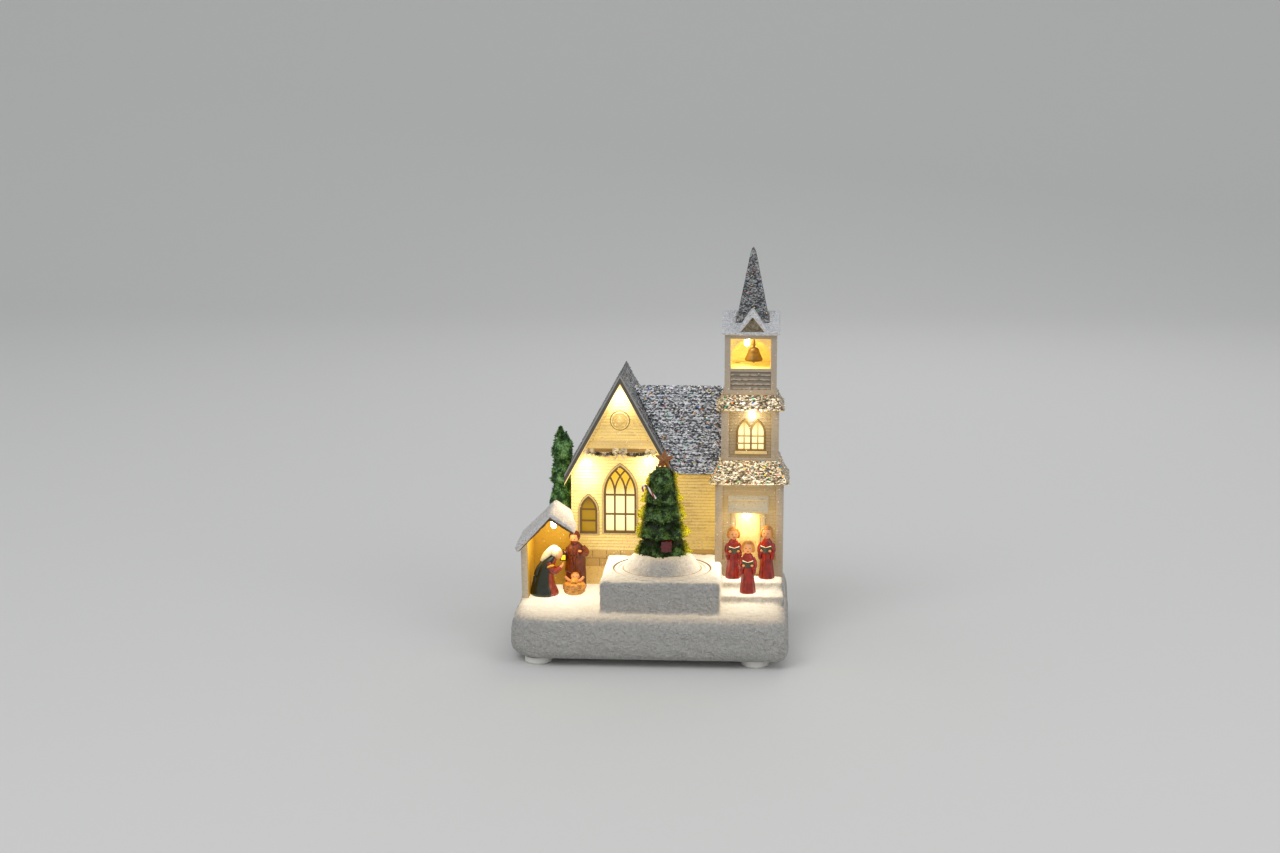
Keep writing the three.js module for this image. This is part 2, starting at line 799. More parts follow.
const treeShape = (grow) =>
  evergreen(TURN_X, TURN_Y, treeFoot, TREE_H, TREE_R + grow, 0.72, TREE_TIERS, 14, 0, 0.06);
const treeFoliage = treeShape(0);

// Five-pointed star, thick in the middle and sharp at its rim, facing the front
function starSolid(x, y, z, radius, thick) {
  const rim = Array.from({ length: 10 }, (_, k) => {
    const r = k % 2 ? 0.44 * radius : radius;
    const angle = Math.PI / 2 - STAR_LEAN + (k * Math.PI) / 5;
    return V(x + r * Math.cos(angle), y, z + r * Math.sin(angle));
  });
  const points = [...rim, V(x, y - thick, z), V(x, y + thick, z)];
  const faces = rim.flatMap((_, k) => [10, k, (k + 1) % 10, 11, (k + 1) % 10, k]);
  const geometry = new THREE.BufferGeometry().setFromPoints(points);
  geometry.setIndex(faces);
  return solid(geometry);
}
const starZ = treeTop + 0.72 * STAR_R;
const treeRoom = treeShape(2 * GAP);
const treeStar = cut(
  joined(
    starSolid(TURN_X + 1.2, TURN_Y, starZ, STAR_R, 2.4),
    limb(V(TURN_X + 0.8, TURN_Y, starZ - 2), 1.5, V(TURN_X, TURN_Y, treeTop + GAP + 1.2), 1.5),
  ),
  treeRoom,
  post(2.5, TURN_X, TURN_Y, treeTop - 9, treeTop + GAP),
);

// Candy cane: a bent rod laid on the branches
const caneFoot = V(TURN_X - 3.4, TURN_Y - 12.3, treeFoot + 38.4);
const caneCurve = new THREE.CatmullRomCurve3([
  caneFoot,
  caneFoot.clone().add(V(-2.6, 0.6, 3.4)),
  caneFoot.clone().add(V(-5.2, 1, 6.8)),
  caneFoot.clone().add(V(-7.4, 1.2, 8.2)),
  caneFoot.clone().add(V(-8.8, 1.2, 6.4)),
  caneFoot.clone().add(V(-8, 1, 4.4)),
]);
const circle = (radius, sides) =>
  new THREE.Shape(
    Array.from({ length: sides }, (_, k) => {
      const angle = (k / sides) * 2 * Math.PI;
      return new THREE.Vector2(radius * Math.cos(angle), radius * Math.sin(angle));
    }),
  );
const tube = (curve, radius, steps, sides) =>
  solid(new THREE.ExtrudeGeometry(circle(radius, sides), { extrudePath: curve, steps }));
const candyCane = cut(tube(caneCurve, 0.95, 12, 6), treeRoom);

// Gift parcel with its ribbon, set into the lower branches
const giftX = TURN_X + 3.6;
const giftY = TURN_Y - 15.6;
const giftZ = treeFoot + 8.5;
const giftBox = cut(
  joined(
    block(giftX - 3.2, giftX + 3.2, giftY - 3, giftY + 4, giftZ - 3.2, giftZ + 3.2),
    block(giftX - 0.7, giftX + 0.7, giftY - 3.4, giftY + 4, giftZ - 3.6, giftZ + 3.6),
    block(giftX - 3.6, giftX + 3.6, giftY - 3.4, giftY + 4, giftZ - 0.7, giftZ + 0.7),
  ),
  treeRoom,
);

// Wing: walls with boards, stone plinth, gable trim and the round medallion
const underWing = running(
  underRoof(WING_X, WING_W / 2, WING_RIDGE, WING_SLOPE, WALL_FOOT, GAP + SHINGLE_STEP),
  WING_FRONT - 4,
  NAVE_BACK,
);
const wingPlan = outline([
  [WING_LEFT, WING_FRONT],
  [WING_RIGHT, WING_FRONT],
  [WING_RIGHT, NAVE_FRONT + WALL],
  [WING_RIGHT - WALL, NAVE_FRONT + WALL],
  [WING_RIGHT - WALL, WING_FRONT + WALL],
  [WING_LEFT + WALL, WING_FRONT + WALL],
  [WING_LEFT + WALL, NAVE_BACK - WALL],
  [WING_RIGHT, NAVE_BACK - WALL],
  [WING_RIGHT, NAVE_BACK],
  [WING_LEFT, NAVE_BACK],
]);
const plinthTop = WALL_FOOT + PLINTH_H;
const TRIM_Z = 123.6;
const TRIM_H = 5.4;
const TRIM_OUT = 1.5;
const MEDALLION_Z = 142.1;
const MEDALLION_R = 5.9;
const BARGE_W = 1.7;

// A band of stone blocks in two courses with half-lapped joints, on the front of a wall
function stoneBand(x0, x1, y, z0, z1, blockW, out) {
  const rows = 2;
  const rowH = (z1 - z0) / rows;
  const count = Math.max(1, Math.round((x1 - x0) / blockW));
  const pitch = (x1 - x0) / count;
  const joints = [];
  for (let row = 0; row < rows; row++) {
    for (let k = 0; k <= count; k++) {
      const at = x0 + (k + (row % 2 ? 0.5 : 0)) * pitch;
      if (at > x0 + 1 && at < x1 - 1) {
        const low = z0 + row * rowH;
        joints.push(block(at - 0.25, at + 0.25, y - out - 1, y - out + 0.4, low + 0.3, low + rowH - 0.3));
      }
    }
  }
  return cut(
    block(x0, x1, y - out, y + 0.6, z0, z1),
    block(x0 - 1, x1 + 1, y - out - 1, y - out + 0.4, z0 + rowH - 0.25, z0 + rowH + 0.25),
    ...joints,
  );
}

const stoneFoot = WALL_FOOT + 0.52 * PLINTH_H;
const bargeDrop = BARGE_W * Math.hypot(1, WING_SLOPE);
const bargeStrips = cut(
  running(
    underRoof(WING_X, WING_W / 2, WING_RIDGE, WING_SLOPE, WING_EAVE - 2, GAP + SHINGLE_STEP),
    WING_FRONT - 1.5,
    WING_FRONT + 0.5,
  ),
  running(
    underRoof(WING_X, WING_W / 2, WING_RIDGE - bargeDrop, WING_SLOPE, 0, GAP + SHINGLE_STEP),
    WING_FRONT - 9,
    WING_FRONT + 9,
  ),
);
const octagon = (cx, cz, radius, sides, start) =>
  outline(
    Array.from({ length: sides }, (_, k) => {
      const angle = start + (k / sides) * 2 * Math.PI;
      return [cx + radius * Math.cos(angle), cz + radius * Math.sin(angle)];
    }),
  );
const medallion = joined(
  cut(
    running(
      octagon(WING_X + BIG_SHIFT, MEDALLION_Z, MEDALLION_R, 24, 0),
      WING_FRONT - 1.5,
      WING_FRONT + 0.6,
    ),
    running(
      octagon(WING_X + BIG_SHIFT, MEDALLION_Z, 0.8 * MEDALLION_R, 8, Math.PI / 8),
      WING_FRONT - 9,
      WING_FRONT - 0.6,
    ),
  ),
  running(
    octagon(WING_X + BIG_SHIFT, MEDALLION_Z, 0.55 * MEDALLION_R, 4, 0),
    WING_FRONT - 1.3,
    WING_FRONT + 0.6,
  ),
);
const bigX = WING_X + BIG_SHIFT;
const smallX = WING_X + SMALL_SHIFT;
const openingThrough = (cx, half, sill, spring) =>
  running(gothic(cx, half, sill, spring, -GAP), WING_FRONT - 5, WING_FRONT + WALL + 1);
const wingMidY = (WING_FRONT + NAVE_BACK) / 2;
const sideBoards = turnedAbout(
  boards(
    WING_X - (NAVE_BACK - WING_FRONT) / 2 + 0.6,
    WING_X + (NAVE_BACK - WING_FRONT) / 2 - 0.6,
    wingMidY - WING_W / 2,
    1.5,
    plinthTop,
    WING_EAVE + 6,
  ),
  WING_X,
  wingMidY,
  -1,
);
const wingWalls = cut(
  joined(
    standing(wingPlan, WALL_FOOT, WING_RIDGE),
    boards(WING_LEFT + 1.5, WING_RIGHT - 1.5, WING_FRONT - LAP_DEPTH, 1.5, plinthTop, TRIM_Z - 4),
    boards(WING_LEFT + 1.5, WING_RIGHT - 1.5, WING_FRONT - LAP_DEPTH, 1.5, TRIM_Z + TRIM_H, WING_RIDGE),
    stoneBand(WING_LEFT, WING_RIGHT, WING_FRONT, stoneFoot, plinthTop, 9, PLINTH_OUT * 0.7),
    block(WING_LEFT, WING_RIGHT, WING_FRONT - PLINTH_OUT, WING_FRONT + 1, WALL_FOOT, stoneFoot),
    bargeStrips,
    medallion,
    block(
      WING_LEFT,
      WING_RIGHT,
      WING_FRONT - TRIM_OUT,
      WING_FRONT + 1,
      TRIM_Z,
      TRIM_Z + TRIM_H,
    ).intersect(underWing),
    sideBoards,
  ).intersect(underWing.add(block(
    WING_LEFT,
    WING_LEFT + 1,
    WING_FRONT,
    NAVE_BACK,
    WALL_FOOT,
    WING_EAVE - 4,
  ))),
  openingThrough(bigX, BIG_HALF, BIG_SILL, BIG_SPRING),
  openingThrough(smallX, SMALL_HALF, SMALL_SILL, SMALL_SPRING),
);
const wingRoofHalf = WING_W / 2 + EAVE_REACH;
const wingRoof = running(
  gableStrip(WING_X, wingRoofHalf, WING_RIDGE, WING_SLOPE, ROOF_T + SHINGLE_STEP),
  WING_FRONT - BARGE_REACH,
  NAVE_BACK + 2.3,
);

// Pointed windows: a moulded frame with bars, and the translucent pane behind it
const frameFront = WING_FRONT - 0.9;
const frameBack = WING_FRONT + WALL - PANE_T - GAP;
function frameRing(cx, half, sill, spring) {
  return cut(
    running(gothic(cx, half, sill, spring), frameFront, frameBack),
    running(gothic(cx, half, sill, spring, FRAME_W), frameFront - 1, frameBack + 1),
    running(gothic(cx, half, sill, spring, 0.45 * FRAME_W), frameFront - 1, frameFront + 0.5),
  );
}
const barBack = WING_FRONT + 1.2;
const level = (cx, half, z) =>
  running(
    outline([
      [cx - half, z - BAR_W / 2],
      [cx + half, z - BAR_W / 2],
      [cx + half, z + BAR_W / 2],
      [cx - half, z + BAR_W / 2],
    ]),
    WING_FRONT,
    barBack,
  );

// Curved bar of the tracery: a band of a circle round (cx, cz)
function archBar(cx, cz, radius, from, to) {
  const shape = new THREE.Shape();
  shape.absarc(cx, cz, radius + BAR_W / 2, from, to, false);
  shape.absarc(cx, cz, radius - BAR_W / 2, to, from, true);
  return running(shape, WING_FRONT, barBack);
}
const mullionX = 0.3 * BIG_HALF;
const bigRadius = 2 * BIG_HALF - FRAME_W;
const bigHole = running(
  gothic(bigX, BIG_HALF, BIG_SILL, BIG_SPRING, 0.7 * FRAME_W),
  WING_FRONT - 1,
  barBack + 1,
);
const bigBars = joined(
  ...[-1, 1].map((side) =>
    block(
      bigX + side * mullionX - BAR_W / 2,
      bigX + side * mullionX + BAR_W / 2,
      WING_FRONT,
      barBack,
      BIG_SILL,
      BIG_SPRING + 0.4,
    ),
  ),
  level(bigX, BIG_HALF, BIG_SILL + 0.5 * (BIG_SPRING - BIG_SILL)),
  level(bigX, BIG_HALF, BIG_SPRING - 0.8),
  ...[-1, 1].flatMap((start) => [
    archBar(bigX + start * mullionX + bigRadius, BIG_SPRING, bigRadius, 0.5 * Math.PI, Math.PI),
    archBar(bigX + start * mullionX - bigRadius, BIG_SPRING, bigRadius, 0, 0.5 * Math.PI),
  ]),
).intersect(bigHole);
const frontTracery = joined(frameRing(bigX, BIG_HALF, BIG_SILL, BIG_SPRING), bigBars);
const smallHole = running(
  gothic(smallX, SMALL_HALF, SMALL_SILL, SMALL_SPRING, 0.7 * FRAME_W),
  WING_FRONT - 1,
  barBack + 1,
);
const sideTracery = joined(
  frameRing(smallX, SMALL_HALF, SMALL_SILL, SMALL_SPRING),
  joined(
    level(smallX, SMALL_HALF, SMALL_SILL + 0.62 * (SMALL_SPRING - SMALL_SILL)),
    level(smallX, SMALL_HALF, SMALL_SPRING + 1.6),
  ).intersect(smallHole),
);
const paneBehind = (cx, half, sill, spring) =>
  running(gothic(cx, half, sill, spring), frameBack + GAP, WING_FRONT + WALL);
const frontPane = paneBehind(bigX, BIG_HALF, BIG_SILL, BIG_SPRING);
const sidePane = paneBehind(smallX, SMALL_HALF, SMALL_SILL, SMALL_SPRING);

// Garland slung in two swags under the gable trim, with three bows
const garlandY = WING_FRONT - TRIM_OUT - GAP - 1.1;
const garlandZ = TRIM_Z - 1.4;
const garlandHalf = (WING_RIDGE - TRIM_Z) / WING_SLOPE - 6.7;
function bow(x, z, size) {
  return joined(
    ...[-1, 1].flatMap((side) => [
      limb(V(x, garlandY, z), 0.6, V(x + side * size, garlandY, z + 0.2 * size), 1.1),
      limb(V(x, garlandY, z - 0.4), 0.6, V(x + 0.75 * side * size, garlandY, z - 1.1 * size), 0.7),
    ]),
  );
}
function swag(x0, x1) {
  const points = Array.from({ length: 7 }, (_, k) => {
    const share = k / 6;
    const sag = Math.sin(Math.PI * share);
    return V(x0 + (x1 - x0) * share, garlandY + 0.7 * Math.min(1, 3 * sag), garlandZ - 1.6 * sag - 0.9);
  });
  return tube(new THREE.CatmullRomCurve3(points), 1, 7, 5);
}
const garland = joined(
  swag(bigX - garlandHalf, bigX),
  swag(bigX, bigX + garlandHalf),
  bow(bigX - garlandHalf, garlandZ, 2),
  bow(bigX, garlandZ, 3.2),
  bow(bigX + garlandHalf, garlandZ, 2),
);

// Nave walls: they wrap round the tower and are open towards the wing
const navePlan = outline([
  [WING_RIGHT + GAP, NAVE_FRONT],
  [TOWER_LEFT - GAP, NAVE_FRONT],
  [TOWER_LEFT - GAP, TOWER_BACK + GAP],
  [NAVE_RIGHT, TOWER_BACK + GAP],
  [NAVE_RIGHT, NAVE_BACK],
  [WING_RIGHT + GAP, NAVE_BACK],
  [WING_RIGHT + GAP, NAVE_BACK - WALL],
  [NAVE_RIGHT - WALL, NAVE_BACK - WALL],
  [NAVE_RIGHT - WALL, TOWER_BACK + GAP + WALL],
  [TOWER_LEFT - GAP - WALL, TOWER_BACK + GAP + WALL],
  [TOWER_LEFT - GAP - WALL, NAVE_FRONT + WALL],
  [WING_RIGHT + GAP, NAVE_FRONT + WALL],
]);
const naveEaveReach = 4.2;
const naveHalf = NAVE_D / 2 + naveEaveReach;
const underNave = spanning(
  underRoof(NAVE_RIDGE_Y, NAVE_D / 2, NAVE_RIDGE, NAVE_SLOPE, WALL_FOOT, GAP + SHINGLE_STEP),
  WING_RIGHT,
  NAVE_RIGHT,
);

// The slab of the wing roof, grown by the clearance, that the nave has to stay clear of.
function wingSlab(grow) {
  const rise = (ROOF_T + SHINGLE_STEP + grow) * Math.hypot(1, WING_SLOPE);
  const lift = grow * Math.hypot(1, WING_SLOPE);
  const reach = wingRoofHalf + grow;
  return running(
    outline([
      [WING_X + reach, WING_RIDGE - reach * WING_SLOPE + lift],
      [WING_X, WING_RIDGE + lift],
      [WING_X, WING_RIDGE - rise],
      [WING_X + reach, WING_RIDGE - reach * WING_SLOPE - rise],
    ]),
    WING_FRONT - BARGE_REACH - 1,
    NAVE_BACK + 5,
  );
}
const stripLeft = WING_RIGHT + GAP;
const stripRight = TOWER_LEFT - GAP;
// Tower skirt roof: shingle courses that flare out to the eave, closed under the eave
function skirtRings(topHalf, reach, z0, height, rows, grow = 0) {
  const rings = [];
  const square = (half, z) => [
    V(TOWER_X - half, TOWER_Y - half, z),
    V(TOWER_X + half, TOWER_Y - half, z),
    V(TOWER_X + half, TOWER_Y + half, z),
    V(TOWER_X - half, TOWER_Y + half, z),
  ];
  const halfAt = (share) => topHalf + reach * (0.75 * (1 - share) + 0.25 * (1 - share) ** 3);
  rings.push(square(halfAt(0) - 0.4 + grow, z0 - grow));
  for (let k = 0; k < rows; k++) {
    const low = k / rows;
    const high = (k + 1) / rows;
    rings.push(square(halfAt(low) + 0.5 + grow, z0 + 0.7 * (k === 0 ? 1 : 0) + height * low));
    rings.push(square(halfAt(high) + grow, z0 + height * high + (k + 1 === rows ? grow : -0.01)));
  }
  return rings;
}
const lowSkirtReach = LOW_W / 2 + LOW_SKIRT_REACH - MID_W / 2;
const midSkirtReach = MID_W / 2 + MID_SKIRT_REACH - BELL_W / 2;
const lowSkirtZ = LOW_TOP + GAP;
const midSkirtZ = MID_TOP + GAP;
const LOW_ROWS = 6;
const MID_ROWS = 4;
const wireHole = 8;
const skirtTrim = block(TOWER_X - 60, TOWER_X + 60, TOWER_BACK, TOWER_BACK + 30, 60, 220);
const lowSkirt = cut(
  loft(skirtRings(MID_W / 2, lowSkirtReach, lowSkirtZ, LOW_SKIRT_H, LOW_ROWS)),
  skirtTrim,
  post(wireHole, TOWER_X, TOWER_Y, lowSkirtZ - 1, lowSkirtZ + LOW_SKIRT_H + 1),
);
const midSkirt = cut(
  loft(skirtRings(BELL_W / 2, midSkirtReach, midSkirtZ, MID_SKIRT_H, MID_ROWS)),
  skirtTrim,
  post(wireHole, TOWER_X, TOWER_Y, midSkirtZ - 1, midSkirtZ + MID_SKIRT_H + 1),
);

// Everything the tower fills, grown by the clearance, that the nave has to stay clear of.
const tierRoom = (width, z0, z1) => {
  const half = width / 2 + GAP;
  return block(TOWER_X - half, TOWER_X + half, TOWER_Y - half, TOWER_Y + half, z0, z1);
};
const skirtLimit = block(TOWER_X - 60, TOWER_X + 60, -60, TOWER_BACK + GAP, 0, 300);
const towerRoom = joined(
  tierRoom(LOW_W, GROUND, lowSkirtZ),
  loft(skirtRings(MID_W / 2, lowSkirtReach, lowSkirtZ, LOW_SKIRT_H, LOW_ROWS, GAP)),
  tierRoom(MID_W, lowSkirtZ, midSkirtZ),
  loft(skirtRings(BELL_W / 2, midSkirtReach, midSkirtZ, MID_SKIRT_H, MID_ROWS, GAP)),
  tierRoom(BELL_W, midSkirtZ, BELFRY_TOP),
).intersect(skirtLimit);

const naveWalls = cut(
  joined(
    standing(navePlan, WALL_FOOT, NAVE_RIDGE),
    boards(
      stripLeft,
      stripRight,
      NAVE_FRONT - LAP_DEPTH + 0.01,
      1.5,
      GROUND + PLATFORM_RISE + GAP,
      WING_EAVE + 12,
    ),
    turnedAbout(
      boards(
        stripLeft,
        NAVE_RIGHT - 1,
        NAVE_RIDGE_Y - NAVE_D / 2 + 0.01,
        1.5,
        plinthTop,
        WING_EAVE + 12,
      ),
      (stripLeft + NAVE_RIGHT - 1) / 2,
      NAVE_RIDGE_Y,
      2,
    ),
  ).intersect(underNave.add(block(
    stripLeft,
    stripRight,
    NAVE_FRONT - LAP_DEPTH,
    NAVE_FRONT + 1,
    PLATFORM + GAP,
    WING_EAVE,
  ))),
  wingSlab(GAP),
  towerRoom,
);

// Nave roof, cut along the valley to the wing and round the tower
const wingReach = wingRoofHalf + GAP;
const valleyLift = GAP * Math.hypot(1, WING_SLOPE);
const valleyRoom = running(
  outline([
    [WING_X - 90, 0],
    [WING_X + wingReach, 0],
    [WING_X + wingReach, WING_RIDGE - wingReach * WING_SLOPE + valleyLift],
    [WING_X, WING_RIDGE + valleyLift],
    [WING_X - 90, WING_RIDGE + valleyLift],
  ]),
  0,
  NAVE_BACK + 20,
);
const naveRoof = cut(
  spanning(
    gableStrip(NAVE_RIDGE_Y, naveHalf, NAVE_RIDGE, NAVE_SLOPE, ROOF_T + SHINGLE_STEP),
    WING_X,
    NAVE_RIGHT + 3,
  ),
  valleyRoom,
  towerRoom,
);

// Tower tier: a hollow square shaft with corner posts and a sunk boarded panel on each side
function tierShaft(width, z0, z1, panelLow, panelHigh, thick) {
  const half = width / 2;
  const panelHalf = half - POST_W;
  const panelCut = () => {
    const count = Math.max(1, Math.round((panelHigh - panelLow) / LAP_PITCH));
    const rise = (panelHigh - panelLow) / count;
    const face = TOWER_Y - half;
    const profile = [[face - 1, panelLow]];
    for (let i = 0; i < count; i++) {
      profile.push(
        [face + PANEL_DEPTH - LAP_DEPTH, panelLow + i * rise],
        [face + PANEL_DEPTH, panelLow + (i + 1) * rise],
      );
    }
    profile.push([face - 1, panelHigh]);
    return spanning(outline(profile), TOWER_X - panelHalf, TOWER_X + panelHalf);
  };
  const inner = half - thick;
  return cut(
    block(TOWER_X - half, TOWER_X + half, TOWER_Y - half, TOWER_Y + half, z0, z1),
    block(TOWER_X - inner, TOWER_X + inner, TOWER_Y - inner, TOWER_Y + inner, z0 - 1, z1 + 1),
    ...[0, 1, 3].map((quarter) => turnedAbout(panelCut(), TOWER_X, TOWER_Y, quarter)),
  );
}

// Lowest tier with its doorway and stone plinth
const tierWall = PANEL_DEPTH + 2.6;
const doorX = TOWER_X - 0.6;
const panelFace = TOWER_FRONT + PANEL_DEPTH;
const lowTier = cut(
  joined(
    tierShaft(LOW_W, WALL_FOOT, LOW_TOP, STEP_TOP + 10.2, LOW_TOP - 1.6, tierWall),
    ...[-1, 1].map((side) =>
      stoneBand(
        side < 0 ? TOWER_LEFT : TOWER_RIGHT - 8,
        side < 0 ? TOWER_LEFT + 8 : TOWER_RIGHT,
        TOWER_FRONT,
        STEP_TOP + GAP,
        STEP_TOP + 10,
        8,
        0,
      ),
    ),
    ...[-1, 1].map((side) =>
      block(
        doorX + side * (DOOR_W / 2 + 2) - 1.4,
        doorX + side * (DOOR_W / 2 + 2) + 1.4,
        panelFace - 1.2,
        panelFace + 1,
        STEP_TOP + GAP,
        STEP_TOP + GAP + DOOR_H,
      ),
    ),
  ),
  block(
    doorX - DOOR_W / 2 - GAP,
    doorX + DOOR_W / 2 + GAP,
    TOWER_FRONT - 3,
    panelFace + 1.6,
    STEP_TOP,
    STEP_TOP + DOOR_H + 2 * GAP,
  ),
  block(
    doorX - DOOR_W / 2 - 3.4,
    doorX + DOOR_W / 2 + 3.4,
    TOWER_FRONT - 3,
    panelFace - 1.2,
    STEP_TOP,
    STEP_TOP + 12,
  ),
);

// Door: a leaf with an upper and a lower panel and a knob
const doorFoot = STEP_TOP + GAP;
const doorFace = panelFace - 0.4;
const doorPanel = (low, high) =>
  block(
    doorX - DOOR_W / 2 + 2.6,
    doorX + DOOR_W / 2 - 2.6,
    doorFace - 1,
    doorFace + 0.7,
    doorFoot + low,
    doorFoot + high,
  );
const churchDoor = joined(
  cut(
    block(
      doorX - DOOR_W / 2,
      doorX + DOOR_W / 2,
      doorFace,
      panelFace + 1.6 - GAP,
      doorFoot,
      doorFoot + DOOR_H,
    ),
    doorPanel(3, 22),
    doorPanel(26, DOOR_H - 3),
  ),
  ball(doorX + DOOR_W / 2 - 1.5, doorFace - 0.3, doorFoot + 20, 0.8, 0.8, 0.8, 8),
);

// Awning over the door: a hollowed board front under a snow-topped lip
const awningTop = 95.8;
const awningBack = panelFace - LAP_DEPTH - GAP;
const awningFront = awningBack - AWNING_OUT;
const doorAwning = spanning(
  outline([
    [awningBack, awningTop - AWNING_H],
    [awningFront + 0.4, awningTop - AWNING_H],
    [awningFront + 0.2, awningTop - AWNING_H + 1.6],
    [awningFront + 1.3, awningTop - 0.62 * AWNING_H],
    [awningFront + 1.2, awningTop - 2.2],
    [awningFront, awningTop - 1.4],
    [awningFront, awningTop - 0.3],
    [awningFront + 0.8, awningTop],
    [awningBack, awningTop + 0.6],
  ]),
  doorX - AWNING_W / 2,
  doorX + AWNING_W / 2,
);

// Middle tier with the twin-arched window
const midHalf = MID_W / 2;
const midFace = TOWER_Y - midHalf + PANEL_DEPTH;
const twinHalf = 4.9;
const twinShift = 4.4;
const twinSill = MID_FOOT + 6;
const twinSpring = MID_FOOT + 18.2;
const twinX = TOWER_X + 0.6;
function twinArch(y0, y1, inset, sillInset = inset) {
  return joined(
    ...[-1, 1].map((side) =>
      running(gothic(twinX + side * twinShift, twinHalf, twinSill, twinSpring, inset, sillInset), y0, y1),
    ),
  );
}
const midTier = cut(
  tierShaft(MID_W, MID_FOOT, MID_TOP, MID_FOOT + 1.8, MID_TOP - 1.4, tierWall),
  twinArch(midFace - 5, midFace + 9, -GAP),
);
const twinBack = TOWER_Y - midHalf + tierWall - PANE_T - GAP;
const twinFront = midFace - LAP_DEPTH - 0.7;
const towerWindow = joined(
  cut(twinArch(twinFront, twinBack, 0), twinArch(twinFront - 1, twinBack + 1, 1.1)),
  block(
    twinX - 10.4,
    twinX + 10.4,
    twinFront - 0.6,
    midFace - LAP_DEPTH - GAP,
    twinSill - 1.8,
    twinSill + 0.2,
  ),
  ...[-1, 1].map((side) =>
    block(
      twinX + side * twinShift - 0.4,
      twinX + side * twinShift + 0.4,
      midFace,
      midFace + 1,
      twinSill,
      twinSpring + 6.4,
    ),
  ),
  ...[0.4, 0.8].map((share) =>
    block(
      twinX - twinShift - twinHalf + 0.6,
      twinX + twinShift + twinHalf - 0.6,
      midFace,
      midFace + 1,
      twinSill + share * (twinSpring - twinSill) - 0.4,
      twinSill + share * (twinSpring - twinSill) + 0.4,
    ),
  ),
);
const towerPane = twinArch(twinBack + GAP, TOWER_Y - midHalf + tierWall, 0);

// Belfry: boarded lower panels, an open front with a round-arched screen, and blind arches
const bellHalf = BELL_W / 2;
const belfryFront = TOWER_Y - bellHalf;
const openLow = BELFRY_FOOT + 17;
const openHigh = BELFRY_TOP - 2.4;
const openHalf = bellHalf - 3.8;
const belfryWall = 3;
const archR = openHalf - 0.4;
const archScreen = new THREE.Shape();
archScreen.moveTo(TOWER_X - archR, openLow - 1);
archScreen.lineTo(TOWER_X + archR, openLow - 1);
archScreen.lineTo(TOWER_X + archR, openHigh - archR - 0.4);
archScreen.absarc(TOWER_X, openHigh - archR - 0.4, archR, 0, Math.PI, false);
const belfryLowPanel = (quarter) =>
  turnedAbout(
    boards(
      TOWER_X - openHalf,
      TOWER_X + openHalf,
      belfryFront - 4,
      4 + 1.4,
      BELFRY_FOOT + 3.2,
      openLow - 2,
    ),
    TOWER_X,
    TOWER_Y,
    quarter,
  );
const tierInner = bellHalf - belfryWall;
const belfry = cut(
  block(
    TOWER_X - bellHalf,
    TOWER_X + bellHalf,
    TOWER_Y - bellHalf,
    TOWER_Y + bellHalf,
    BELFRY_FOOT,
    BELFRY_TOP,
  ),
  block(
    TOWER_X - tierInner,
    TOWER_X + tierInner,
    belfryFront + 2 * belfryWall,
    TOWER_Y + tierInner,
    openLow,
    BELFRY_TOP + 1,
  ),
  block(
    TOWER_X - tierInner + 2,
    TOWER_X + tierInner - 2,
    TOWER_Y - tierInner + 2,
    TOWER_Y + tierInner - 2,
    BELFRY_FOOT - 1,
    openLow - 3,
  ),
  post(2, TOWER_X - 9, TOWER_Y + 9, BELFRY_FOOT, openLow + 1, 12),
  block(
    TOWER_X - openHalf,
    TOWER_X + openHalf,
    belfryFront - 1,
    belfryFront + belfryWall,
    openLow,
    openHigh,
  ),
  running(archScreen, belfryFront + 1, belfryFront + 3 * belfryWall).intersect(
    block(TOWER_X - 40, TOWER_X + 40, 0, 40, openLow, BELFRY_TOP),
  ),
  ...[0, 1, 2, 3].map(belfryLowPanel),
  ...[1, 2, 3].map((quarter) =>
    turnedAbout(
      running(archScreen, belfryFront - 1, belfryFront + 1.2).intersect(
        block(TOWER_X - 40, TOWER_X + 40, belfryFront - 3, belfryFront + 3, openLow, BELFRY_TOP),
      ),
      TOWER_X,
      TOWER_Y,
      quarter,
    ),
  ),
);

// Bell on its hanger, which fills the height of the chamber
const bellX = TOWER_X + 1.8;
const bellY = belfryFront + 2 * belfryWall + BELL_R + 1.5;
const bellFoot = openLow + 2.8;
const bellTop = bellFoot + BELL_H;
const bell = joined(
  turned(
    [
      [0, bellFoot + 1.2],
      [BELL_R - 1.6, bellFoot + 1.2],
      [BELL_R - 0.5, bellFoot],
      [BELL_R, bellFoot + 0.2],
      [BELL_R - 1.1, bellFoot + 0.22 * BELL_H],
      [BELL_R - 2.1, bellFoot + 0.5 * BELL_H],
      [BELL_R - 2.6, bellFoot + 0.8 * BELL_H],
      [BELL_R - 3.8, bellFoot + 0.95 * BELL_H],
      [0, bellTop],
    ],
    bellX,
    bellY,
    14,
  ),
  ball(bellX, bellY, bellFoot + 0.2, 1.4, 1.4, 1.4, 6),
  post(1, bellX, bellY, bellTop - 1, BELFRY_TOP, 10),
);

